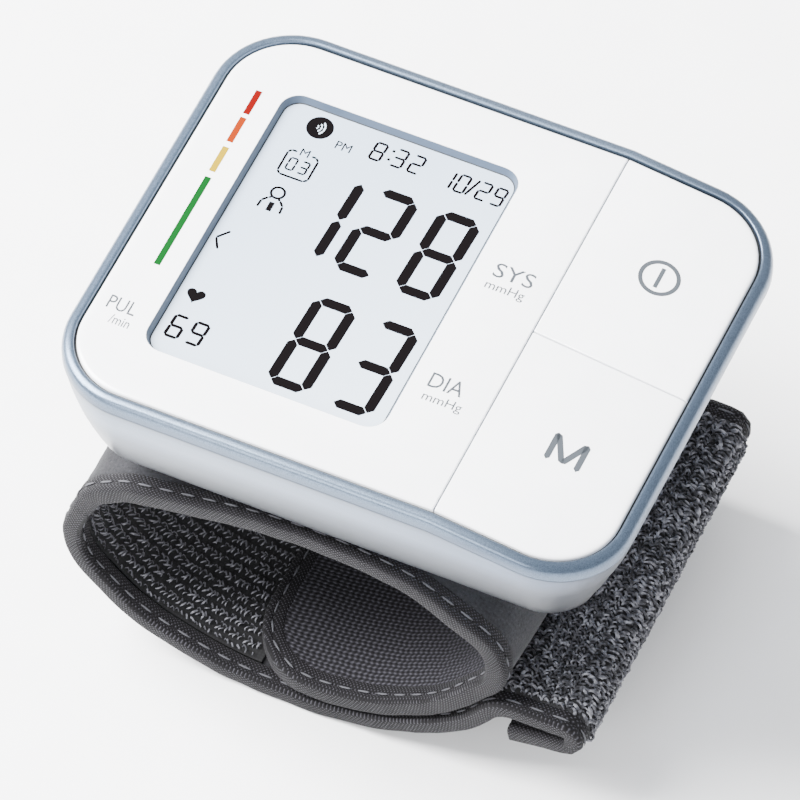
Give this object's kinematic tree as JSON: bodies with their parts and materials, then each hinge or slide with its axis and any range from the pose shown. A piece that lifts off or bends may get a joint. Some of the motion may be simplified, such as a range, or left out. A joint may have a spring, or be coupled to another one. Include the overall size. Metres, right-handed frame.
{
  "type": "wrist blood pressure monitor",
  "caption": "Wrist blood pressure monitor: rounded display housing with two keys on a padded, wrapped wrist cuff whose strap swings open.",
  "frame": {"origin": "bottom centre of the whole object: on the surface it rests on, below the middle of the housing", "axes": "+X along the display from left to right, +Y up the display, +Z the display's normal"},
  "size_m": [0.0836, 0.0696, 0.0645],
  "materials": {
    "bright_silver": "satin metallic lacquer, bright",
    "silver_paint": "satin metallic lacquer, pale blue silver",
    "pale_plastic": "satin pale blue plastic",
    "white_gloss": "high gloss white",
    "clear_lens": "clear, printed behind",
    "lcd": "pale grey liquid crystal cell",
    "black_plastic": "matt black",
    "grey_plastic": "matt grey",
    "circuit_board": "solder mask",
    "steel": "bright zinc plate",
    "nickel": "nickel plate",
    "cell_jacket": "printed sleeve, plain",
    "silicone": "milky silicone",
    "bladder_rubber": "matt",
    "suede": "brushed, speckled grey",
    "knit": "ribbed knit",
    "weave": "woven tape",
    "hook": "hook and loop field",
    "pile": "raised loop pile"
  },
  "bodies": {
    "housing": {"bezel_ring": "bright_silver", "upper_housing": "silver_paint", "lower_housing": "pale_plastic", "display_panel": "white_gloss", "display_lens": "clear_lens", "power_switch_body": "black_plastic", "memory_switch_body": "black_plastic", "button_board": "circuit_board", "lcd_frame": "black_plastic", "lcd_glass": "lcd", "lcd_reflector": "grey_plastic", "lcd_connector": "silicone", "main_board": "circuit_board", "radio_module": "steel", "processor_chip": "black_plastic", "pressure_sensor": "grey_plastic", "buzzer": "black_plastic", "battery_1": "cell_jacket", "battery_2": "cell_jacket", "battery_spring_1": "nickel", "battery_spring_2": "nickel", "battery_contact_1": "nickel", "battery_contact_2": "nickel", "battery_tray": "grey_plastic", "pump_motor": "steel", "pump_head": "black_plastic", "release_valve": "grey_plastic", "air_manifold": "black_plastic", "air_nipple": "black_plastic", "air_tube_pump": "silicone", "air_tube_sensor": "silicone", "air_tube_valve": "silicone", "housing_screw_front": "steel", "housing_screw_back": "steel", "saddle_screw_1": "steel", "saddle_screw_2": "steel", "saddle_screw_3": "steel", "saddle_screw_4": "steel", "cuff_saddle": "grey_plastic", "cuff_cover": "suede", "cuff_stiffener": "black_plastic", "air_bladder": "bladder_rubber", "cuff_lining": "knit", "cuff_binding": "weave"},
    "power_key": {"power_button": "white_gloss", "power_switch_stem": "grey_plastic"},
    "memory_key": {"memory_button": "white_gloss", "memory_switch_stem": "grey_plastic"},
    "cover": {"battery_cover": "pale_plastic"},
    "strap": {"strap_web": "weave", "strap_binding_front": "weave", "strap_binding_back": "weave", "hook_field": "hook", "pile_patch": "pile"},
    "pump_shaft": {"motor_shaft": "steel"},
    "valve": {"valve_plunger": "steel"}
  },
  "joints": [
    {"name": "power_press", "type": "slide", "parent": "housing", "child": "power_key", "axis": [-0.1392, 0, -0.9903], "range_m": [0, 0.0004], "stiffness_N_per_m": 700},
    {"name": "memory_press", "type": "slide", "parent": "housing", "child": "memory_key", "axis": [-0.1392, 0, -0.9903], "range_m": [0, 0.0004], "stiffness_N_per_m": 700},
    {"name": "cover_slide", "type": "slide", "parent": "housing", "child": "cover", "axis": [0.9925, 0, -0.1219], "range_m": [0, 0.03]},
    {"name": "strap_swing", "type": "hinge", "parent": "housing", "child": "strap", "pos_m": [-0.0372, 0, 0.0317], "axis": [0, 1, 0], "range_deg": [0, 75]},
    {"name": "motor_spin", "type": "hinge", "parent": "housing", "child": "pump_shaft", "pos_m": [0, 0.014, 0.052], "axis": [1, 0, 0], "continuous": true},
    {"name": "valve_stroke", "type": "slide", "parent": "housing", "child": "valve", "axis": [-1, 0, 0], "range_m": [0, 0.001], "stiffness_N_per_m": 60}
  ]
}
